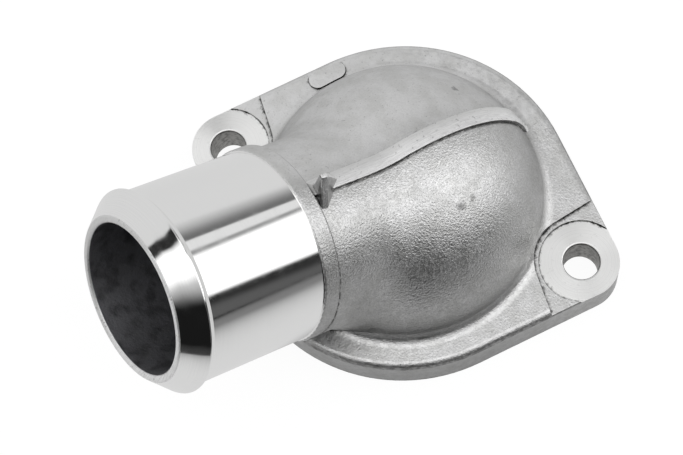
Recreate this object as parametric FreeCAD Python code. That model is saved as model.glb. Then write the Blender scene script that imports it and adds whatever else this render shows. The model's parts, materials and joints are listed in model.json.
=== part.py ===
import FreeCAD, Part
import math
import os

from FreeCAD import Placement, Rotation, Vector

# Thermostat housing: one aluminium casting, machined on its gasket face, thermostat seat,
# bolt spotfaces and hose neck. Millimetres, +Z up. The origin is the centre of the gasket face,
# the two bolts lie on the X axis and the dome stands on the +Z side.

# Flange with two bolt ears
BOLT_SPACING = 90.0
BOLT_HOLE_D = 8.6
HOLE_CHAMFER = 0.3
FLANGE_LEDGE = 7.1
EAR_R = 9.0
FLANGE_T = 10.8
RIM_ROUND = 1.8

# Ear pads stand a step below the flange top, and the spotfaces are cut a little into them
PAD_DROP = 0.9
PAD_R = 11.2
PAD_SPLAY_DEG = 52.0
SPOT_R = 10.1
SPOT_DROP = 0.5

# Dome over the thermostat
DOME_R = 34.3
DOME_CENTRE_Z = 6.5
DOME_WALL = 4.0
FOOT_FILLET = 3.2

# Thermostat seat cut into the gasket face
SEAT_D = 67.0
SEAT_DEPTH = 3.0

# Hose neck: lengths along it count from where its axis crosses the Z axis, and its top line
# runs NECK_UNDER_CREST below the dome's highest line in that direction
NECK_AZIMUTH_DEG = -127.4
NECK_TILT_DEG = 26.6
NECK_UNDER_CREST = 3.15
NECK_OD = 44.7
NECK_BORE_D = 34.7
NECK_REACH = 75.0
COLLAR_AT = 35.5
COLLAR_WIDTH = 4.2
COLLAR_STEP = 0.5
COLLAR_EDGE = 0.3
BEAD_D = 46.8
BEAD_FROM_MOUTH = 5.1
BEAD_BACK = 1.6
BEAD_LAND = 0.4
LIP_WALL = 1.75
LIP_EDGE = 0.3
BORE_CHAMFER = 0.4

# The cast root of the neck lies a little under the turned neck and runs into the dome
ROOT_DROP = 2.0
ELBOW_BLEND = 20.0

# Linished band over the mould parting, proud of the skin on both sides of the crest
BAND_WIDTH = 4.0
BAND_STEP = 0.8

# Lug across the crest behind the collar. Its profile stands across the neck, with places counted
# from the crest towards the near side, and it runs out into a low tail towards the dome
LUG_FROM_COLLAR = 1.95
LUG_YAW_DEG = 6.0
LUG_WIDTH = 1.5
LUG_HEIGHT = 5.35
LUG_FRONT_AT = 4.7
LUG_PEAK_AT = 0.75
LUG_PEAK_LENGTH = 1.0
LUG_BACK_AT = -0.4
LUG_BURIED = 2.2
LUG_TAIL = 5.1
LUG_TAIL_AT = -1.2
LUG_TAIL_SCALE = 0.35
LUG_ROUND = 0.35

# Low rounded pad on the flange rim, left where the gate was cut off
GATE_LENGTH = 9.6
GATE_WIDTH = 4.4
GATE_STEP = 0.5
GATE_AT_R = 37.9
GATE_AZIMUTH_DEG = 138.6

NODE = "thermostat_housing"
Z = Vector(0, 0, 1)
HALF_BOLTS = BOLT_SPACING / 2
FLANGE_R = DOME_R + FLANGE_LEDGE
NECK_R = NECK_OD / 2
BORE_R = NECK_BORE_D / 2
COLLAR_R = NECK_R + COLLAR_STEP
LIP_R = BORE_R + LIP_WALL
NECK_RISE = (DOME_CENTRE_Z
             + (DOME_R - NECK_R - NECK_UNDER_CREST) / math.cos(math.radians(NECK_TILT_DEG)))
PAD_Z = FLANGE_T - PAD_DROP
SPOT_Z = PAD_Z - SPOT_DROP
REACH = 2 * (BOLT_SPACING + NECK_REACH)


def heading(degrees):
    """Horizontal unit vector at an azimuth from +X."""
    a = math.radians(degrees)
    return Vector(math.cos(a), math.sin(a), 0)


def neck_frame(drop=0.0):
    """Placement whose Z runs out along the neck and whose X points down under it."""
    tilt = math.radians(NECK_TILT_DEG)
    out = heading(NECK_AZIMUTH_DEG) * math.cos(tilt) + Z * math.sin(tilt)
    down = heading(NECK_AZIMUTH_DEG) * math.sin(tilt) - Z * math.cos(tilt)
    start = Z * NECK_RISE + down * drop
    return Placement(start, Rotation(down, out.cross(down), out, "ZXY"))


def on_circle(centre_x, radius, angle, height=0.0):
    """Point on an upright cylinder whose axis stands on the X axis."""
    return Vector(centre_x + radius * math.cos(angle), radius * math.sin(angle), height)


def turned(points, frame=Placement()):
    """Solid turned about its frame's Z axis from a closed (radius, height) outline."""
    wire = Part.makePolygon([Vector(r, 0, h) for r, h in points + points[:1]])
    solid = Part.Face(wire).revolve(Vector(0, 0, 0), Z, 360)
    solid.Placement = frame
    return solid


def cylinder(radius, low, high, frame=Placement()):
    """Round bar between two heights of a frame."""
    bar = Part.makeCylinder(radius, high - low, Vector(0, 0, low))
    bar.Placement = frame.multiply(bar.Placement)
    return bar


def above(height):
    """Block that holds everything above a height."""
    return Part.makeBox(REACH, REACH, REACH, Vector(-REACH / 2, -REACH / 2, height))


def crest_slab(width):
    """Upright slab along the neck, centred on its middle plane."""
    slab = Part.makeBox(REACH, width, REACH, Vector(-REACH / 2, -width / 2, -REACH / 2))
    slab.Placement = Placement(Vector(0, 0, 0), Rotation(Z, NECK_AZIMUTH_DEG))
    return slab


def flange():
    """Big circle and two ears joined by their outer tangents, with a rounded top rim."""
    lean = math.acos((FLANGE_R - EAR_R) / HALF_BOLTS)
    right = [on_circle(HALF_BOLTS, EAR_R, a) for a in (-lean, 0, lean)]
    top = [on_circle(0, FLANGE_R, a) for a in (lean, math.pi / 2, math.pi - lean)]
    arcs = [right, top, [-p for p in right], [-p for p in top]]
    edges = []
    for arc, following in zip(arcs, arcs[1:] + arcs[:1]):
        edges.append(Part.Arc(*arc).toShape())
        edges.append(Part.makeLine(arc[2], following[0]))
    plate = Part.Face(Part.Wire(edges)).extrude(Z * FLANGE_T)
    rim = [e for e in plate.Edges if e.BoundBox.ZMin > FLANGE_T / 2]
    return plate.makeFillet(RIM_ROUND, rim)


def ball(radius):
    """Ball round the dome's centre, turned so that its poles and seam fall inside the neck."""
    solid = Part.makeSphere(radius)
    solid.Placement = Placement(Z * DOME_CENTRE_Z, neck_frame().Rotation)
    return solid


def shared_edges(body, one, other):
    """Edges where faces of two kinds of surface meet."""
    first = [f for f in body.Faces if isinstance(f.Surface, one)]
    second = [f for f in body.Faces if isinstance(f.Surface, other)]
    return [e for f in first for e in f.Edges if any(e.isSame(o) for s in second for o in s.Edges)]


def foot():
    """Turned ring with the concave foot fillet between the flange top and the dome."""
    reach = DOME_R + FOOT_FILLET
    rise = FLANGE_T + FOOT_FILLET - DOME_CENTRE_Z
    lean = math.asin(rise / reach)
    toe_r = reach * math.cos(lean)
    mid = lean + (math.pi / 2 - lean) / 2
    touch = Vector(toe_r - FOOT_FILLET * math.cos(lean), 0, FLANGE_T + FOOT_FILLET * (1 - math.sin(lean)))
    sweep = Vector(toe_r - FOOT_FILLET * math.cos(mid), 0, FLANGE_T + FOOT_FILLET * (1 - math.sin(mid)))
    toe = Vector(toe_r, 0, FLANGE_T)
    corners = [touch, Vector(0, 0, touch.z), Vector(0, 0, FLANGE_T / 2), Vector(toe_r, 0, FLANGE_T / 2), toe]
    edges = [Part.makeLine(a, b) for a, b in zip(corners, corners[1:])]
    edges.append(Part.Arc(toe, sweep, touch).toShape())
    return Part.Face(Part.Wire(edges)).revolve(Vector(0, 0, 0), Z, 360)


def elbow(grow):
    """Dome and neck root run into each other through a wide concave blend."""
    root = cylinder(NECK_R + grow, 0, COLLAR_AT + COLLAR_WIDTH / 2, neck_frame(ROOT_DROP))
    body = ball(DOME_R + grow).fuse(root)
    body = body.makeFillet(ELBOW_BLEND, shared_edges(body, Part.Sphere, Part.Cylinder))
    return body.common(above(0))


def casting_skin():
    """Outer form of flange, foot, dome and neck root."""
    return flange().fuse([foot(), elbow(0)])


def parting_band():
    """The elbow's skin grown by the band's step, between the band's two sides."""
    return elbow(BAND_STEP).common(crest_slab(BAND_WIDTH)).common(above(FLANGE_T))


def neck():
    """Turned hose neck with its bead, and the cast collar that the tool ran up to."""
    ring = NECK_REACH - BEAD_FROM_MOUTH
    bead_r = BEAD_D / 2
    outline = [(0, COLLAR_AT), (NECK_R, COLLAR_AT), (NECK_R, ring - BEAD_BACK)]
    outline += [(bead_r, ring - BEAD_LAND), (bead_r, ring), (LIP_R, NECK_REACH - LIP_EDGE)]
    outline += [(LIP_R - LIP_EDGE, NECK_REACH), (0, NECK_REACH)]
    collar_end = COLLAR_AT + COLLAR_WIDTH
    collar = [(0, COLLAR_AT), (COLLAR_R - COLLAR_EDGE, COLLAR_AT), (COLLAR_R, COLLAR_AT + COLLAR_EDGE)]
    collar += [(COLLAR_R, collar_end - COLLAR_EDGE), (COLLAR_R - COLLAR_EDGE, collar_end), (0, collar_end)]
    return turned(outline, neck_frame()).fuse(turned(collar, neck_frame()))


def lug():
    """Wedge across the neck: a narrow front that climbs to a blunt peak, and a tail behind it."""
    crest = NECK_R - ROOT_DROP
    yaw = Placement(Vector(0, 0, COLLAR_AT - LUG_FROM_COLLAR), Rotation(Vector(1, 0, 0), LUG_YAW_DEG))
    frame = neck_frame().multiply(yaw)
    front_run = (LUG_FRONT_AT - LUG_PEAK_AT) / LUG_HEIGHT * LUG_BURIED
    peak_end = LUG_PEAK_AT - LUG_PEAK_LENGTH
    back_run = (peak_end - LUG_BACK_AT) / LUG_HEIGHT * LUG_BURIED
    profile = [(LUG_FRONT_AT + front_run, 0), (LUG_PEAK_AT, LUG_HEIGHT + LUG_BURIED),
               (peak_end, LUG_HEIGHT + LUG_BURIED), (LUG_BACK_AT - back_run, 0)]

    def section(back, scale):
        points = [Vector(LUG_BURIED - crest - scale * rise, LUG_TAIL_AT + scale * (place - LUG_TAIL_AT), -back)
                  for place, rise in profile]
        return Part.makePolygon(points + points[:1])

    blade = Part.makeLoft([section(0, 1), section(LUG_WIDTH, 1)], True, True)
    tail = Part.makeLoft([section(LUG_WIDTH, 1), section(LUG_WIDTH + LUG_TAIL, LUG_TAIL_SCALE)], True, True)
    solid = blade.fuse(tail).removeSplitter()
    high = -crest - LUG_HEIGHT / 2
    reaching = [e for e in solid.Edges if e.BoundBox.XMin < high]
    rounded = [e for e in reaching if e.BoundBox.XMax < high or e.BoundBox.ZMin > -LUG_ROUND]
    solid = solid.makeFillet(LUG_ROUND, rounded)
    solid.Placement = frame
    return solid


def cavity():
    """Water space: thermostat seat, bowl under the dome and the bore of the neck."""
    inner_r = DOME_R - DOME_WALL
    bowl = ball(inner_r).common(above(DOME_CENTRE_Z))
    bowl = bowl.fuse(cylinder(inner_r, -SEAT_DEPTH, DOME_CENTRE_Z))
    bore = cylinder(BORE_R, 0, NECK_REACH + BORE_CHAMFER, neck_frame())
    mouth = turned([(0, NECK_REACH - BORE_CHAMFER), (BORE_R, NECK_REACH - BORE_CHAMFER),
                    (BORE_R + 2 * BORE_CHAMFER, NECK_REACH + BORE_CHAMFER), (0, NECK_REACH + BORE_CHAMFER)],
                   neck_frame())
    return bowl.fuse([bore, mouth, cylinder(SEAT_D / 2, -SEAT_DEPTH, SEAT_DEPTH)])


def ear_pad(side):
    """Cutter for the lower pad of one ear: an arc round the bolt, then splayed straight sides."""
    splay = math.radians(PAD_SPLAY_DEG)
    turn = math.pi / 2 + splay
    arc = [on_circle(HALF_BOLTS, PAD_R, a, PAD_Z) for a in (turn, math.pi, -turn)]
    run = Vector(math.cos(splay), math.sin(splay), 0) * (EAR_R + PAD_R)
    run_back = Vector(run.x, -run.y, 0)
    edges = [Part.Arc(*arc).toShape(), Part.makeLine(arc[2], arc[2] + run_back),
             Part.makeLine(arc[2] + run_back, arc[0] + run), Part.makeLine(arc[0] + run, arc[0])]
    tool = Part.Face(Part.Wire(edges)).extrude(Z * (PAD_DROP + FOOT_FILLET))
    return tool if side > 0 else tool.mirror(Vector(0, 0, 0), Vector(1, 0, 0))


def bolt_cutters(side):
    """Spotface, clearance hole and its small chamfer for one bolt."""
    hole_r = BOLT_HOLE_D / 2
    drill = [(0, -FLANGE_T), (hole_r, -FLANGE_T), (hole_r, SPOT_Z - HOLE_CHAMFER),
             (hole_r + HOLE_CHAMFER, SPOT_Z), (SPOT_R, SPOT_Z), (SPOT_R, FLANGE_T + FOOT_FILLET),
             (0, FLANGE_T + FOOT_FILLET)]
    return turned(drill, Placement(Vector(side * HALF_BOLTS, 0, 0), Rotation()))


def gate_pad():
    """Low rounded pad with its long side along the rim."""
    end_r = GATE_WIDTH / 2
    height = FLANGE_T / 2 + GATE_STEP
    centre = heading(GATE_AZIMUTH_DEG) * GATE_AT_R + Z * (FLANGE_T / 2)
    along = heading(GATE_AZIMUTH_DEG + 90) * (GATE_LENGTH / 2 - end_r)
    ends = [Part.makeCylinder(end_r, height, centre + along * way) for way in (1, -1)]
    middle = Part.makeBox(2 * along.Length, GATE_WIDTH, height, Vector(-along.Length, -end_r, 0))
    middle.Placement = Placement(centre, Rotation(Z, GATE_AZIMUTH_DEG + 90))
    return middle.fuse(ends).removeSplitter()


def housing():
    """The whole casting, then everything that is cut out of it."""
    solid = casting_skin().fuse([parting_band(), neck(), lug(), gate_pad()])
    cuts = [cavity()]
    for side in (1, -1):
        cuts += [ear_pad(side), bolt_cutters(side)]
    return solid.cut(cuts)


part = housing()
print(NODE, "valid", part.isValid(), "solids", len(part.Solids), "faces", len(part.Faces),
      "volume", round(part.Volume), "box", part.BoundBox)
os.makedirs("parts", exist_ok=True)
part.exportStep("parts/" + NODE + ".step")
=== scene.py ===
import json
import math

import bmesh
import bpy
from mathutils import Euler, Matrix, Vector

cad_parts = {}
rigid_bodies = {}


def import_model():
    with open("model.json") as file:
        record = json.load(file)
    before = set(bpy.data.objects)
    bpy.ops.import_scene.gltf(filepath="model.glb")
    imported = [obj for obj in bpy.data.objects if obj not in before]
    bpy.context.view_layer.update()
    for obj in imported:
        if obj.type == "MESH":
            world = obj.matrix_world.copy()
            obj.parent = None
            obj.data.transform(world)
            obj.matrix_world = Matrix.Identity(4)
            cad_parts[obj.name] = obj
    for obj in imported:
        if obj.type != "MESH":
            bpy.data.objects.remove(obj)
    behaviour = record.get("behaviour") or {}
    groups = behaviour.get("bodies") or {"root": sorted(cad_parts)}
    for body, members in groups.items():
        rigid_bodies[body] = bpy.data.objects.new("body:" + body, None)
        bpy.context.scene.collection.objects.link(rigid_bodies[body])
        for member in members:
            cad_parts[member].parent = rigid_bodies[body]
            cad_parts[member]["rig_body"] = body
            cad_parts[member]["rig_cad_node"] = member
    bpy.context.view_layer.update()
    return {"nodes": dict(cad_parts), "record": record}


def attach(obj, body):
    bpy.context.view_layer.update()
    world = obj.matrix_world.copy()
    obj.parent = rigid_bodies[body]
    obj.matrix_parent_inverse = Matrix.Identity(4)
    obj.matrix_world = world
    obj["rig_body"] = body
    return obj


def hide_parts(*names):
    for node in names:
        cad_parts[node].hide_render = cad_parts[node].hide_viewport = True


bl_info = {
    "name": "Thermostat housing",
    "version": (1, 0, 0),
    "blender": (4, 5, 0),
    "location": "3D View > Sidebar > Housing",
    "description": "Finishes the cast and machined thermostat housing and sets up its studio",
    "category": "Object",
}

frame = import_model()

NODE = "thermostat_housing"
MM = 0.001

# The neck's line and the bolts' places come from the record's mounts
MOUNTS = {m["name"]: m for m in frame["record"]["mounts"]}
MOUTH = Vector(MOUNTS["hose_neck"]["pos_m"])
NECK_OUT = Vector(MOUNTS["hose_neck"]["axis"]).normalized()
NECK_SIDE = Vector((0, 0, 1)).cross(NECK_OUT).normalized()
NECK_UP = NECK_OUT.cross(NECK_SIDE)
NECK_AHEAD = Vector((NECK_OUT.x, NECK_OUT.y, 0)).normalized()
BOLT_X = MOUNTS["bolt_holes"]["dims"]["spacing_x_mm"] / 2 * MM
HOLE_R = MOUNTS["bolt_holes"]["dims"]["hole_r_mm"] * MM
SEAT_R = MOUNTS["thermostat_seat"]["dims"]["r_mm"] * MM
SEAT_DEPTH = MOUNTS["thermostat_seat"]["dims"]["length_mm"] * MM

# Heights between which the marks of the flange end and those of the dome start
ABOVE_FLANGE = (12 * MM, 14 * MM)

# Places in the casting's list of materials
CAST, TURNED, MILLED, CORED, LINISHED, DRILLED_AND_SHADED = range(6)


def linear(hex_colour):
    """Linear RGB of an sRGB hex colour."""
    parts = [int(hex_colour[i:i + 2], 16) / 255 for i in (1, 3, 5)]
    return [c / 12.92 if c <= 0.04045 else ((c + 0.055) / 1.055) ** 2.4 for c in parts]


class CastingSizes(bpy.types.PropertyGroup):
    """Sizes of the finish on the casting."""

    edge_round: bpy.props.FloatProperty(
        name="Edge round", description="Width of the small round on cast edges",
        default=0.20 * MM, min=0.0, max=1.0 * MM, unit="LENGTH", precision=5)
    sharp_angle: bpy.props.FloatProperty(
        name="Sharp angle", description="Edges that turn by more than this get the small round",
        default=math.radians(28), subtype="ANGLE")
    turned_length: bpy.props.FloatProperty(
        name="Turned length", description="Length of the machined neck behind its mouth",
        default=35.4 * MM, unit="LENGTH", precision=5)
    collar_end: bpy.props.FloatProperty(
        name="Collar end", description="Distance from the mouth to the back of the cast collar",
        default=39.7 * MM, unit="LENGTH", precision=5)
    bore_radius: bpy.props.FloatProperty(
        name="Bore radius", description="Radius of the neck's bore",
        default=17.35 * MM, unit="LENGTH", precision=5)
    spotface_radius: bpy.props.FloatProperty(
        name="Spotface radius", description="Radius of the milled face round each bolt hole",
        default=10.1 * MM, unit="LENGTH", precision=5)
    spotface_height: bpy.props.FloatProperty(
        name="Spotface height", description="Height of the milled faces above the gasket face",
        default=9.4 * MM, unit="LENGTH", precision=5)
    band_half_width: bpy.props.FloatProperty(
        name="Band half width", description="Half the width of the linished band on the parting line",
        default=2.0 * MM, unit="LENGTH", precision=5)
    flange_height: bpy.props.FloatProperty(
        name="Flange height", description="Height of the flange's top above the gasket face",
        default=11.0 * MM, unit="LENGTH", precision=5)
    bowl_radius: bpy.props.FloatProperty(
        name="Bowl radius", description="Radius of the bowl under the dome",
        default=30.3 * MM, unit="LENGTH", precision=5)
    bowl_height: bpy.props.FloatProperty(
        name="Bowl height", description="Height of the middle of the bowl above the gasket face",
        default=6.5 * MM, unit="LENGTH", precision=5)


class Finishes(bpy.types.PropertyGroup):
    """Colours of the bare aluminium after each way of working it, and of the dirt and the painted shade."""

    cast_colour: bpy.props.FloatVectorProperty(
        name="Cast skin", description="Colour of the blasted cast skin",
        default=linear("#e9e9e9"), size=3, subtype="COLOR", min=0, max=1)
    blotch_colour: bpy.props.FloatVectorProperty(
        name="Blotches", description="Colour of the duller patches in the cast skin",
        default=linear("#dededd"), size=3, subtype="COLOR", min=0, max=1)
    linished_colour: bpy.props.FloatVectorProperty(
        name="Linished band", description="Colour of the ground band on the parting line",
        default=linear("#ffffff"), size=3, subtype="COLOR", min=0, max=1)
    turned_colour: bpy.props.FloatVectorProperty(
        name="Turned neck", description="Colour of the mirror-turned hose neck",
        default=linear("#f4f4f4"), size=3, subtype="COLOR", min=0, max=1)
    milled_colour: bpy.props.FloatVectorProperty(
        name="Milled faces", description="Colour of the milled spotfaces and the gasket face",
        default=linear("#fafaf9"), size=3, subtype="COLOR", min=0, max=1)
    # This colour is darker than the bare metal: it also paints the shade inside the bolt holes and on the lug's
    # front
    drilled_and_shade_colour: bpy.props.FloatVectorProperty(
        name="Drilled holes", description="Colour of the walls of the bolt holes",
        default=linear("#b4b3b0"), size=3, subtype="COLOR", min=0, max=1)
    core_colour: bpy.props.FloatVectorProperty(
        name="Cored inside", description="Colour of the cored surfaces inside",
        default=linear("#9a9a9e"), size=3, subtype="COLOR", min=0, max=1)
    # Dirt in pits, smears and patches, and also the painted shade in corners, on steep walls and along the band's
    # and collar's steps
    dirt_and_shade_colour: bpy.props.FloatVectorProperty(
        name="Dirt", description="Colour of the grime in corners and pits",
        default=linear("#383736"), size=3, subtype="COLOR", min=0, max=1)


class Studio(bpy.types.PropertyGroup):
    """Floor, light and camera."""

    floor_size: bpy.props.FloatProperty(
        name="Floor size", description="Side of the pale floor",
        default=6.0, unit="LENGTH")
    floor_colour: bpy.props.FloatVectorProperty(
        name="Floor", description="Colour of the floor and backdrop",
        default=linear("#ffffff"), size=3, subtype="COLOR", min=0, max=1)
    floor_white: bpy.props.FloatProperty(
        name="Floor white", description="Even white of the floor that the camera sees",
        default=0.94, min=0.0, max=1.0, subtype="FACTOR")
    shadow_share: bpy.props.FloatProperty(
        name="Shadow share", description="How much of the floor's own shading shows",
        default=0.10, min=0.0, max=1.0, subtype="FACTOR")
    tent_level: bpy.props.FloatProperty(
        name="Tent level", description="Brightness of the light tent's plain cloth",
        default=0.88, min=0.0, max=2.0)
    camera_at: bpy.props.FloatVectorProperty(
        name="Camera place", description="Place of the camera",
        default=(0.068196, -0.135721, 0.414514), size=3, subtype="TRANSLATION", unit="LENGTH")
    camera_turn: bpy.props.FloatVectorProperty(
        name="Camera turn", description="Turn of the camera about X, Y and Z",
        default=[math.radians(a) for a in (19.6684, 4.3348, 20.5260)], size=3, subtype="EULER")
    camera_lens: bpy.props.FloatProperty(
        name="Lens", description="Focal length of the camera in millimetres",
        default=95.1, unit="CAMERA")


def node(tree, kind, links=(), **values):
    """Adds a node, sets its properties and unlinked inputs, and links the rest by input name."""
    made = tree.nodes.new(kind)
    for key, value in values.items():
        if hasattr(made, key):
            setattr(made, key, value)
        else:
            made.inputs[key.replace("_", " ")].default_value = value
    for socket, source in dict(links).items():
        if hasattr(source, "node"):
            tree.links.new(source, made.inputs[socket])
        else:
            made.inputs[socket].default_value = source
    return made


def new_material(name):
    material = bpy.data.materials.new(name)
    material.use_nodes = True
    tree = material.node_tree
    tree.nodes.clear()
    return material, tree


def metal(tree, roughness, links=(), **values):
    """Metal shader with an output. Roughness is a number or a socket."""
    links = {**dict(links), "Roughness": roughness}
    shader = node(tree, "ShaderNodeBsdfPrincipled", links, Metallic=1.0, **values)
    node(tree, "ShaderNodeOutputMaterial", {"Surface": shader.outputs[0]})


def math_node(tree, operation, *sources):
    """Result of a sum on numbers or sockets."""
    return node(tree, "ShaderNodeMath", dict(enumerate(sources)), operation=operation).outputs[0]


def product(tree, *factors):
    """All factors multiplied together."""
    whole = factors[0]
    for factor in factors[1:]:
        whole = math_node(tree, "MULTIPLY", whole, factor)
    return whole


def along(tree, vector, direction):
    """How far a place lies along a direction."""
    dot = node(tree, "ShaderNodeVectorMath", {0: vector, 1: direction}, operation="DOT_PRODUCT")
    return dot.outputs["Value"]


def fade(tree, value, low, high, at_low=0.0, at_high=1.0, shape="SMOOTHSTEP"):
    """Changes from one level to another while a value goes from low to high."""
    ends = {"From Min": low, "From Max": high, "To Min": at_low, "To Max": at_high}
    return node(tree, "ShaderNodeMapRange", {"Value": value, **ends}, interpolation_type=shape).outputs[0]


def between(tree, value, start, full, last, end):
    """1 while a value lies between full and last, fading to 0 at start and end."""
    return product(tree, fade(tree, value, start, full), fade(tree, value, last, end, 1.0, 0.0))


def height_of(tree, place):
    """Height of a place above the gasket face."""
    return node(tree, "ShaderNodeSeparateXYZ", {0: place}).outputs[2]


def behind_mouth(tree, place):
    """Distance of a place behind the mouth, along the neck."""
    return math_node(tree, "SUBTRACT", MOUTH.dot(NECK_OUT), along(tree, place, NECK_OUT))


def facing_up(tree):
    """How far the surface faces up: 1 where it is level and 0 where it is upright."""
    normal = node(tree, "ShaderNodeTexCoord").outputs["Normal"]
    return node(tree, "ShaderNodeSeparateXYZ", {0: normal}).outputs[2]


def noise(tree, place, size, detail=2.0, roughness=0.5):
    """Noise whose lumps are about so many metres across."""
    return node(tree, "ShaderNodeTexNoise", {"Vector": place}, Scale=1.0 / size, Detail=detail,
                Roughness=roughness).outputs[0]


def blend(tree, factor, one, other):
    """Mix of two colours."""
    mix = node(tree, "ShaderNodeMix", {0: factor}, data_type="RGBA")
    for socket, colour in ((6, one), (7, other)):
        if hasattr(colour, "node"):
            tree.links.new(colour, mix.inputs[socket])
        else:
            mix.inputs[socket].default_value = (*colour, 1)
    return mix.outputs[2]


def corner_shade(tree, place, reach, low, high):
    """Painted shade: darker in corners that open less than the surface round them, in an uneven line."""
    open_share = node(tree, "ShaderNodeAmbientOcclusion", samples=8, Distance=reach).outputs["AO"]
    uneven = fade(tree, noise(tree, place, 1.1 * MM, 3.0), 0.3, 0.7, -0.16, 0.16, "LINEAR")
    # The painted shade reaches a little further on the low flange than on the dome
    lowered = fade(tree, height_of(tree, place), *ABOVE_FLANGE, -0.14, 0.0)
    share = math_node(tree, "ADD", math_node(tree, "ADD", open_share, uneven), lowered)
    return fade(tree, share, low, high, 1.0, 0.0)


def painted_wall_shade(tree):
    """Painted shade: the skin is darker on steep walls and keeps its own colour where the surface faces up."""
    return fade(tree, facing_up(tree), 0.30, 0.95, 0.42, 0.0, "LINEAR")


def painted_step_shadows(tree, place, sizes):
    """Painted shadow along the near side of the parting band's step and behind the collar's step."""
    back = behind_mouth(tree, place)
    edge = sizes.band_half_width
    end = sizes.collar_end
    on_crest = product(tree, fade(tree, height_of(tree, place), *ABOVE_FLANGE),
                       fade(tree, back, end + 3.3 * MM, end + 5.3 * MM))
    aside = along(tree, place, NECK_SIDE)
    beside_band = between(tree, aside, edge - 0.25 * MM, edge, edge + 0.30 * MM, edge + 0.70 * MM)
    uneven = fade(tree, noise(tree, place, 1.6 * MM, 3.0), 0.35, 0.55, 0.55, 1.0)
    behind_collar = between(tree, back, end - 0.60 * MM, end - 0.25 * MM, end + 0.70 * MM, end + 1.30 * MM)
    ragged = fade(tree, noise(tree, place, 0.9 * MM, 3.0), 0.38, 0.54, 0.2, 1.0)
    on_near_side = fade(tree, aside, -4 * MM, 4 * MM, 0.35, 1.0)
    return math_node(tree, "MAXIMUM", product(tree, beside_band, on_crest, uneven, 0.65),
                     product(tree, behind_collar, ragged, on_near_side, 0.9))


def rim_line(tree, place):
    """Dark uneven line painted along the flange's rounded rim."""
    on_round = between(tree, facing_up(tree), 0.10, 0.25, 0.55, 0.80)
    on_rim = between(tree, height_of(tree, place), 7.5 * MM, 8.5 * MM, 10.7 * MM, 11.0 * MM)
    uneven = fade(tree, noise(tree, place, 1.2 * MM, 3.0), 0.35, 0.60, 0.25, 0.62)
    return product(tree, on_round, on_rim, uneven)


# Small stains on the near side of the dome: their place and radius in millimetres
STAINS = [((17.4, -5.2, 35.6), 1.3), ((18.9, -2.2, 35.0), 0.9), ((5.6, 23.4, 30.9), 0.9)]


def stains(tree, place):
    """Mask of the small stains, darkest in their middle and ragged at their edge."""
    ragged = fade(tree, noise(tree, place, 0.8 * MM, 3.0), 0.3, 0.7, -0.5 * MM, 0.5 * MM, "LINEAR")
    mask = 0.0
    for middle, radius in STAINS:
        away = node(tree, "ShaderNodeVectorMath", {0: place, 1: Vector(middle) * MM}, operation="DISTANCE")
        reach = math_node(tree, "ADD", away.outputs["Value"], ragged)
        spot = fade(tree, reach, 0.3 * radius * MM, 1.2 * radius * MM, 0.5, 0.0)
        mask = math_node(tree, "MAXIMUM", mask, spot)
    return mask


def cast_skin(name, finish, sizes):
    """Blasted cast aluminium: dull grey with a fine orange-peel grain that glints, smoother on the far side."""
    material, tree = new_material(name)
    place = node(tree, "ShaderNodeTexCoord").outputs["Object"]
    near = fade(tree, along(tree, place, NECK_SIDE), -1.5 * MM, 2.5 * MM, 0.30, 1.0)
    above = fade(tree, height_of(tree, place), 10 * MM, 18 * MM, 0.6, 1.0)
    coarse = product(tree, near, above)
    peel = noise(tree, place, 0.50 * MM, 1.5, 0.5)
    grit = noise(tree, place, 0.25 * MM, 0.0)
    height = math_node(tree, "MULTIPLY_ADD", grit, 0.25, peel)
    bump = node(tree, "ShaderNodeBump", {"Height": height, "Strength": coarse}, Distance=0.12 * MM)
    patches = fade(tree, noise(tree, place, 5.0 * MM, 3.0), 0.35, 0.65)
    colour = blend(tree, patches, finish.cast_colour, finish.blotch_colour)
    pits = fade(tree, noise(tree, place, 0.5 * MM, 2.0), 0.60, 0.78, 0.0, 0.35)
    speckle = fade(tree, noise(tree, place, 0.38 * MM, 1.0), 0.36, 0.64, 0.0, 0.20)
    # Darkened in turn: pits and speckle in the grain, painted shade on steep walls, painted shadows along the steps
    # together with real stains and the dark rim line, and painted shade in corners
    darkened = [math_node(tree, "MAXIMUM", pits, product(tree, speckle, coarse)), painted_wall_shade(tree)]
    marks = math_node(tree, "MAXIMUM", painted_step_shadows(tree, place, sizes), stains(tree, place))
    darkened += [math_node(tree, "MAXIMUM", marks, rim_line(tree, place)), corner_shade(tree, place, 1.3 * MM, 0.38, 0.72)]
    for share in darkened:
        colour = blend(tree, share, colour, finish.dirt_and_shade_colour)
    roughness = fade(tree, noise(tree, place, 1.3 * MM, 2.0), 0.3, 0.7, 0.31, 0.45)
    metal(tree, roughness, {"Normal": bump.outputs[0], "Base Color": colour})
    return material


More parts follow.
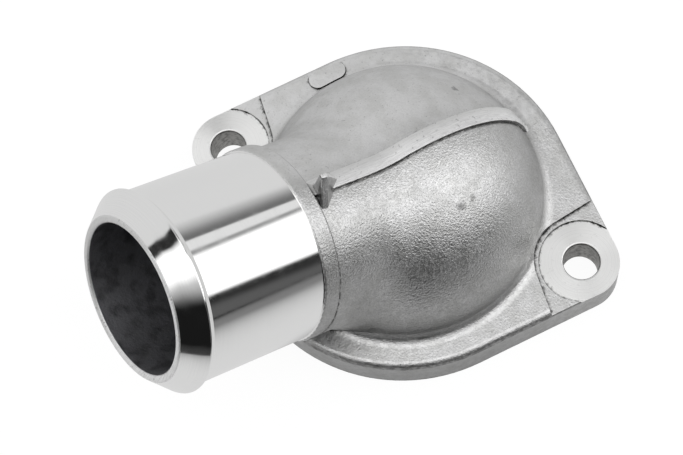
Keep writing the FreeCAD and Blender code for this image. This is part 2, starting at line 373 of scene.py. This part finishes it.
def linished(name, finish):
    """Cast aluminium ground by hand along the parting line: brighter, with scratches along the band."""
    material, tree = new_material(name)
    place = node(tree, "ShaderNodeTexCoord").outputs["Object"]
    drawn_out = node(tree, "ShaderNodeCombineXYZ", {
        0: along(tree, place, NECK_SIDE * 5.0), 1: along(tree, place, NECK_AHEAD * 0.35),
        2: along(tree, place, Vector((0, 0, 0.35)))}).outputs[0]
    scratches = noise(tree, drawn_out, 1.0 * MM, 3.0, 0.6)
    bump = node(tree, "ShaderNodeBump", {"Height": scratches}, Strength=0.5, Distance=0.03 * MM)
    colour = blend(tree, fade(tree, scratches, 0.35, 0.7), finish.linished_colour, finish.cast_colour)
    far_side = fade(tree, along(tree, place, NECK_SIDE), -2.0 * MM, 0.8 * MM, 0.65, 0.0)
    colour = blend(tree, far_side, colour, finish.blotch_colour)
    pits = fade(tree, noise(tree, place, 0.7 * MM, 2.0), 0.62, 0.74, 0.0, 0.32)
    colour = blend(tree, pits, colour, finish.dirt_and_shade_colour)
    # Painted shade in the band's corners, at half strength
    corners = product(tree, corner_shade(tree, place, 1.3 * MM, 0.38, 0.72), 0.5)
    colour = blend(tree, corners, colour, finish.dirt_and_shade_colour)
    metal(tree, 0.50, {"Normal": bump.outputs[0], "Base Color": colour})
    return material


def turned(name, finish):
    """Mirror-turned aluminium: nearly a mirror, with hair-fine rings from the tool."""
    material, tree = new_material(name)
    place = node(tree, "ShaderNodeTexCoord").outputs["Object"]
    rings = node(tree, "ShaderNodeTexNoise", {"W": along(tree, place, NECK_OUT)}, noise_dimensions="1D",
                 Scale=6000.0, Detail=3.0, Roughness=0.7).outputs[0]
    bump = node(tree, "ShaderNodeBump", {"Height": rings}, Strength=0.5, Distance=0.004 * MM)
    colour = blend(tree, fade(tree, rings, 0.35, 0.75), finish.turned_colour, finish.milled_colour)
    roughness = fade(tree, noise(tree, place, 3.0 * MM, 3.0), 0.3, 0.7, 0.05, 0.11)
    metal(tree, roughness, {"Normal": bump.outputs[0], "Base Color": colour})
    return material


def milled(name, finish):
    """Milled aluminium: bright, with fine rings from the cutter round each bolt hole that draw the light out."""
    material, tree = new_material(name)
    place = node(tree, "ShaderNodeTexCoord").outputs["Object"]
    axes = node(tree, "ShaderNodeSeparateXYZ", {0: place})
    beside = math_node(tree, "SUBTRACT", math_node(tree, "ABSOLUTE", axes.outputs[0]), BOLT_X)
    flat = node(tree, "ShaderNodeCombineXYZ", {0: beside, 1: axes.outputs[1]})
    radius = node(tree, "ShaderNodeVectorMath", {0: flat.outputs[0]}, operation="LENGTH").outputs["Value"]
    rings = node(tree, "ShaderNodeTexNoise", {"W": radius}, noise_dimensions="1D",
                 Scale=3500.0, Detail=3.0, Roughness=0.7).outputs[0]
    bump = node(tree, "ShaderNodeBump", {"Height": rings}, Strength=0.6, Distance=0.03 * MM)
    colour = blend(tree, fade(tree, rings, 0.50, 0.85), finish.milled_colour, finish.cast_colour)
    # Painted shade in the corners of the milled faces
    colour = blend(tree, corner_shade(tree, place, 0.9 * MM, 0.45, 0.75), colour, finish.dirt_and_shade_colour)
    to_side = product(tree, beside, math_node(tree, "SIGN", axes.outputs[0]))
    round_bolt = node(tree, "ShaderNodeCombineXYZ", {0: product(tree, axes.outputs[1], -1.0), 1: to_side}).outputs[0]
    metal(tree, 0.36, {"Normal": bump.outputs[0], "Base Color": colour, "Tangent": round_bolt}, Anisotropic=0.85)
    return material


def drilled_and_shaded(name, finish):
    """Drilled aluminium with painted shade: dark and smeared, with feed marks round the hole. Its darkness paints
    the shade inside the bolt holes and on the lug's front.
    """
    material, tree = new_material(name)
    place = node(tree, "ShaderNodeTexCoord").outputs["Object"]
    feed = node(tree, "ShaderNodeTexNoise", {"W": height_of(tree, place)}, noise_dimensions="1D",
                Scale=2500.0, Detail=2.0).outputs[0]
    bump = node(tree, "ShaderNodeBump", {"Height": feed}, Strength=0.6, Distance=0.05 * MM)
    smears = fade(tree, noise(tree, place, 0.9 * MM, 3.0), 0.35, 0.75, 0.15, 0.75)
    colour = blend(tree, smears, finish.drilled_and_shade_colour, finish.dirt_and_shade_colour)
    metal(tree, 0.42, {"Normal": bump.outputs[0], "Base Color": colour})
    return material


def cored(name, finish):
    """Cored cast aluminium inside: dark, rough and grainy, never blasted."""
    material, tree = new_material(name)
    place = node(tree, "ShaderNodeTexCoord").outputs["Object"]
    grain = noise(tree, place, 0.8 * MM, 3.0, 0.65)
    bump = node(tree, "ShaderNodeBump", {"Height": grain}, Strength=0.9, Distance=0.15 * MM)
    patches = fade(tree, noise(tree, place, 3.5 * MM, 4.0), 0.40, 0.70, 0.0, 0.5)
    colour = blend(tree, patches, finish.core_colour, finish.dirt_and_shade_colour)
    metal(tree, 0.55, {"Normal": bump.outputs[0], "Base Color": colour})
    return material


def region(centre, normal, sizes):
    """Which finish a face of the casting has, from its place and direction."""
    slack = 0.1 * MM
    lip_depth = 0.35 * MM
    lug_length = 5 * MM
    bore = sizes.bore_radius
    back = (MOUTH - centre).dot(NECK_OUT)
    off_axis = (centre - MOUTH + NECK_OUT * back).length
    aside = abs(centre.dot(NECK_SIDE))
    from_bolt = math.hypot(abs(centre.x) - BOLT_X, centre.y)
    from_middle = math.hypot(centre.x, centre.y)
    faces_mouth = normal.dot(NECK_OUT) > 0.7
    # The neck: its bore, the ring of its lip, the turned outside and the front wall of the collar
    if off_axis < bore + slack and normal.dot(NECK_OUT) < 0.3 and -slack < back < 2 * sizes.turned_length + slack:
        return CORED
    if back < lip_depth and off_axis < 1.15 * bore:
        return LINISHED
    if -slack < back < sizes.turned_length - slack:
        return TURNED
    if faces_mouth and sizes.turned_length - 1 * MM < back < sizes.collar_end - 1 * MM:
        return LINISHED
    # The lug's front, which gets the dark hole finish as painted shade
    on_root = centre.z > 2 * sizes.flange_height and off_axis > 1.4 * bore
    if faces_mouth and on_root and back < sizes.collar_end + lug_length and aside < 2 * MM:
        return DRILLED_AND_SHADED
    # The bolt holes, the spotfaces and the gasket face
    # The walls of the bolt holes, whose dark finish also paints the shade inside them
    if from_bolt < HOLE_R + slack:
        return DRILLED_AND_SHADED
    if from_bolt < sizes.spotface_radius + slack and abs(centre.z - sizes.spotface_height) < 4 * slack:
        return MILLED
    if centre.z < slack and normal.z < -0.9:
        return MILLED
    # The seat and the bowl
    in_bowl = math.hypot(from_middle, max(centre.z - sizes.bowl_height, 0)) < sizes.bowl_radius + slack
    in_seat = centre.z < SEAT_DEPTH + slack and from_middle < SEAT_R + slack
    if in_bowl or in_seat:
        return CORED
    # The band on the crest, from behind the collar to the foot at the back
    on_crest = aside < sizes.band_half_width + slack and abs(normal.dot(NECK_SIDE)) < 0.6
    past_collar = back > sizes.collar_end + 1.5 * MM and centre.dot(NECK_AHEAD) > -1.3 * sizes.bowl_radius
    if on_crest and past_collar and centre.z > sizes.flange_height + slack:
        return LINISHED
    return CAST


def mark_rounds(mesh, sizes):
    """Marks the outer sharp edges that have room for the small round. The others stay as they are."""
    edited = bmesh.new()
    edited.from_mesh(mesh)
    marks = edited.edges.layers.float.new("bevel_weight_edge")
    sharp = {edge for edge in edited.edges if edge.calc_face_angle(0.0) > sizes.sharp_angle}
    room = {}
    for edge in sharp:
        spokes = {spoke for end in edge.verts for spoke in end.link_edges} - {edge}
        widths = [2 * face.calc_area() / edge.calc_length() for face in edge.link_faces]
        widths += [spoke.calc_length() * (0.5 if spoke in sharp else 1.0) for spoke in spokes]
        room[edge] = min(widths)
    for _ in range(2):
        at_end = {}
        for edge, width in room.items():
            for end in edge.verts:
                at_end[end] = min(at_end.get(end, width), width)
        room = {edge: min(at_end[end] for end in edge.verts) for edge in sharp}
    for edge, width in room.items():
        edge[marks] = 1.0 if edge.is_convex and width > sizes.edge_round else 0.0
    edited.to_mesh(mesh)
    edited.free()


class HOUSING_OT_casting(bpy.types.Operator):
    """Copies the casting, joins its mesh, rounds its edges and gives each region its finish"""

    bl_idname = "housing.casting"
    bl_label = "Casting"

    def execute(self, context):
        sizes = context.scene.housing_sizes
        finish = context.scene.housing_finishes
        bpy.ops.object.select_all(action="DESELECT")
        body = frame["nodes"][NODE].copy()
        body.data = body.data.copy()
        body.name = "casting"
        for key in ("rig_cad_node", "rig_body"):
            if key in body:
                del body[key]
        context.scene.collection.objects.link(body)
        body.parent = None
        body.select_set(True)
        context.view_layer.objects.active = body
        bpy.ops.mesh.customdata_custom_splitnormals_clear()
        bpy.ops.object.mode_set(mode="EDIT")
        bpy.ops.mesh.select_all(action="SELECT")
        bpy.ops.mesh.remove_doubles(threshold=0.001 * MM)
        bpy.ops.object.mode_set(mode="OBJECT")
        body.data.materials.clear()
        for material in (cast_skin("blasted_cast_aluminium", finish, sizes), turned("turned_aluminium", finish),
                         milled("milled_aluminium", finish), cored("cored_aluminium", finish),
                         linished("linished_aluminium", finish), drilled_and_shaded("drilled_aluminium_and_painted_shade", finish)):
            body.data.materials.append(material)
        for face in body.data.polygons:
            face.material_index = region(face.center, face.normal, sizes)
        mark_rounds(body.data, sizes)
        bpy.ops.object.modifier_add(type="BEVEL")
        bevel = body.modifiers[-1]
        bevel.width = sizes.edge_round
        bevel.segments = 3  # enough for a soft glint on so small a round
        bevel.limit_method = "WEIGHT"
        bevel.miter_outer = "MITER_ARC"
        bevel.use_clamp_overlap = False
        bpy.ops.object.modifier_apply(modifier=bevel.name)
        bpy.ops.object.shade_smooth_by_angle(angle=sizes.sharp_angle)
        bpy.ops.object.modifier_add(type="WEIGHTED_NORMAL")
        even = body.modifiers[-1]
        even.keep_sharp = True
        even.weight = 80
        bpy.ops.object.modifier_apply(modifier=even.name)
        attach(body, "root")
        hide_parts(NODE)
        return {"FINISHED"}


# Cloths and gaps of the light tent, by the angle round the neck's line (0 is up, plus is the near side) and the
# angle along it (plus is towards the mouth), in degrees: from, to and the two soft edges round the line, from and to
# along it, and brightness
SOFT_ALONG = 8
PANELS = [
    ("front opening", 52, 130, 6, 10, -46, 14, 0.13),
    ("front opening, middle", 52, 63, 5, 12, -46, 14, 0.035),
    ("front opening, left", 46, 130, 44, 10, 14, 95, 0.012),
    ("right cloth", 3, 49.5, 8, 6, -56, 16, 1.75),
    ("left cloth", -22, 26, 8, 20, 16, 72, 1.60),
    ("fold by the right cloth", -4.5, 0.8, 4, 4, -95, 16, 0.42),
    ("cloth's edge", -14.5, -4.5, 3, 4, -95, 16, 0.98),
    ("fold at the top", -29, -15, 24, 2.5, -95, 16, 0.20),
    ("clip", -43, -26, 4, 4, 36, 62, 0.03),
]


def tent_mask(tree, angle, start, end, soft_start, soft_end):
    """1 between two angles, with soft edges, all in degrees."""
    edges = (start - soft_start / 2, start + soft_start / 2, end - soft_end / 2, end + soft_end / 2)
    return between(tree, angle, *map(math.radians, edges))


class HOUSING_OT_stage(bpy.types.Operator):
    """Adds the pale floor, the light tent and the camera"""

    bl_idname = "housing.stage"
    bl_label = "Stage"

    def execute(self, context):
        studio = context.scene.housing_studio
        bpy.ops.object.select_all(action="DESELECT")
        bpy.ops.mesh.primitive_plane_add(size=studio.floor_size, location=(0, 0, -0.02 * MM))
        floor = context.object
        floor.name = "floor"
        bpy.ops.object.transform_apply(location=True)
        floor.data.materials.append(self.floor_material(studio))
        context.scene.world = self.tent(studio)
        bpy.ops.object.camera_add(location=studio.camera_at, rotation=Euler(studio.camera_turn))
        camera = context.object
        camera.data.lens = studio.camera_lens
        camera.data.clip_start = 0.01
        context.scene.camera = camera
        context.scene.view_settings.view_transform = "Standard"
        return {"FINISHED"}

    def floor_material(self, studio):
        """Pale paper sheet: plain white to the camera. To metal it glows with painted light that falls off towards
        the dark room at the front, with a painted shadow close round the housing.
        """
        material, tree = new_material("paper_floor")
        path = node(tree, "ShaderNodeLightPath")
        place = node(tree, "ShaderNodeNewGeometry").outputs["Position"]
        front = math.radians(-40)
        towards_front = along(tree, place, Vector((math.cos(front), math.sin(front), 0)))
        # Painted light: the floor that metal sees is brightest near the housing and dims towards the open front
        near_level = fade(tree, towards_front, 0.05, 0.32, 0.70, 0.21)
        far_share = fade(tree, towards_front, 0.30, 1.00, 1.0, 0.6)
        # The sheet ends in a cut edge, past which the table is dark
        past_edge = fade(tree, along(tree, place, Vector((0.1, -1, 0))), 0.33, 0.36, 1.0, 0.2)
        distance = node(tree, "ShaderNodeVectorMath", {0: place}, operation="LENGTH").outputs["Value"]
        # Painted shadow of the housing on the floor that metal sees, within about 5 cm of the middle
        painted_floor_shadow = fade(tree, distance, 0.040, 0.052, 0.7, 1.0)
        level = product(tree, near_level, far_share, past_edge, painted_floor_shadow)
        white = node(tree, "ShaderNodeEmission", Strength=studio.floor_white)
        white.inputs["Color"].default_value = (*studio.floor_colour, 1)
        paper = node(tree, "ShaderNodeBsdfDiffuse")
        paper.inputs["Color"].default_value = (*studio.floor_colour, 1)
        faint = node(tree, "ShaderNodeBsdfDiffuse")
        faint.inputs["Color"].default_value = (*[c * studio.shadow_share for c in studio.floor_colour], 1)
        seen = node(tree, "ShaderNodeAddShader", {0: white.outputs[0], 1: faint.outputs[0]})
        painted_floor_light = node(tree, "ShaderNodeEmission", {"Strength": level})
        other = node(tree, "ShaderNodeMixShader",
                     {0: path.outputs["Is Glossy Ray"], 1: paper.outputs[0], 2: painted_floor_light.outputs[0]})
        both = node(tree, "ShaderNodeMixShader",
                    {0: path.outputs["Is Camera Ray"], 1: other.outputs[0], 2: seen.outputs[0]})
        node(tree, "ShaderNodeOutputMaterial", {"Surface": both.outputs[0]})
        return material

    def tent(self, studio):
        """Light tent of pale cloths that hang along the neck, open to the dark room at the front."""
        world = bpy.data.worlds.new("light_tent")
        world.use_nodes = True
        tree = world.node_tree
        tree.nodes.clear()
        ray = node(tree, "ShaderNodeTexCoord").outputs["Generated"]
        round_neck = math_node(tree, "ARCTAN2", along(tree, ray, NECK_SIDE), along(tree, ray, NECK_UP))
        along_neck = math_node(tree, "ARCSINE", along(tree, ray, NECK_OUT))
        level = studio.tent_level
        for name, start, end, soft_start, soft_end, low, high, strength in PANELS:
            mask = product(tree, tent_mask(tree, round_neck, start, end, soft_start, soft_end),
                           tent_mask(tree, along_neck, low, high, SOFT_ALONG, SOFT_ALONG))
            level = node(tree, "ShaderNodeMix", {0: mask, 2: level, 3: strength}, data_type="FLOAT",
                         label=name).outputs[0]
        path = node(tree, "ShaderNodeLightPath")
        shown = node(tree, "ShaderNodeMix", {0: path.outputs["Is Camera Ray"], 2: level, 3: 1.0}, data_type="FLOAT")
        light = node(tree, "ShaderNodeBackground", {"Strength": shown.outputs[0]})
        node(tree, "ShaderNodeOutputWorld", {"Surface": light.outputs[0]})
        return world


class HOUSING_PT_panel(bpy.types.Panel):
    """Lists the steps and their settings in the sidebar"""

    bl_label = "Thermostat housing"
    bl_idname = "HOUSING_PT_panel"
    bl_space_type = "VIEW_3D"
    bl_region_type = "UI"
    bl_category = "Housing"

    def draw(self, context):
        scene = context.scene
        for group in (scene.housing_sizes, scene.housing_finishes, scene.housing_studio):
            box = self.layout.box()
            for name in group.__annotations__:
                box.prop(group, name)
        self.layout.operator("housing.casting")
        self.layout.operator("housing.stage")


GROUPS = {"housing_sizes": CastingSizes, "housing_finishes": Finishes, "housing_studio": Studio}
CLASSES = (*GROUPS.values(), HOUSING_OT_casting, HOUSING_OT_stage, HOUSING_PT_panel)


def register():
    for each in CLASSES:
        bpy.utils.register_class(each)
    for name, group in GROUPS.items():
        setattr(bpy.types.Scene, name, bpy.props.PointerProperty(type=group))


def unregister():
    for name in GROUPS:
        delattr(bpy.types.Scene, name)
    for each in reversed(CLASSES):
        bpy.utils.unregister_class(each)


def main():
    register()
    bpy.ops.housing.casting()
    bpy.ops.housing.stage()


if __name__ == "__main__":
    main()
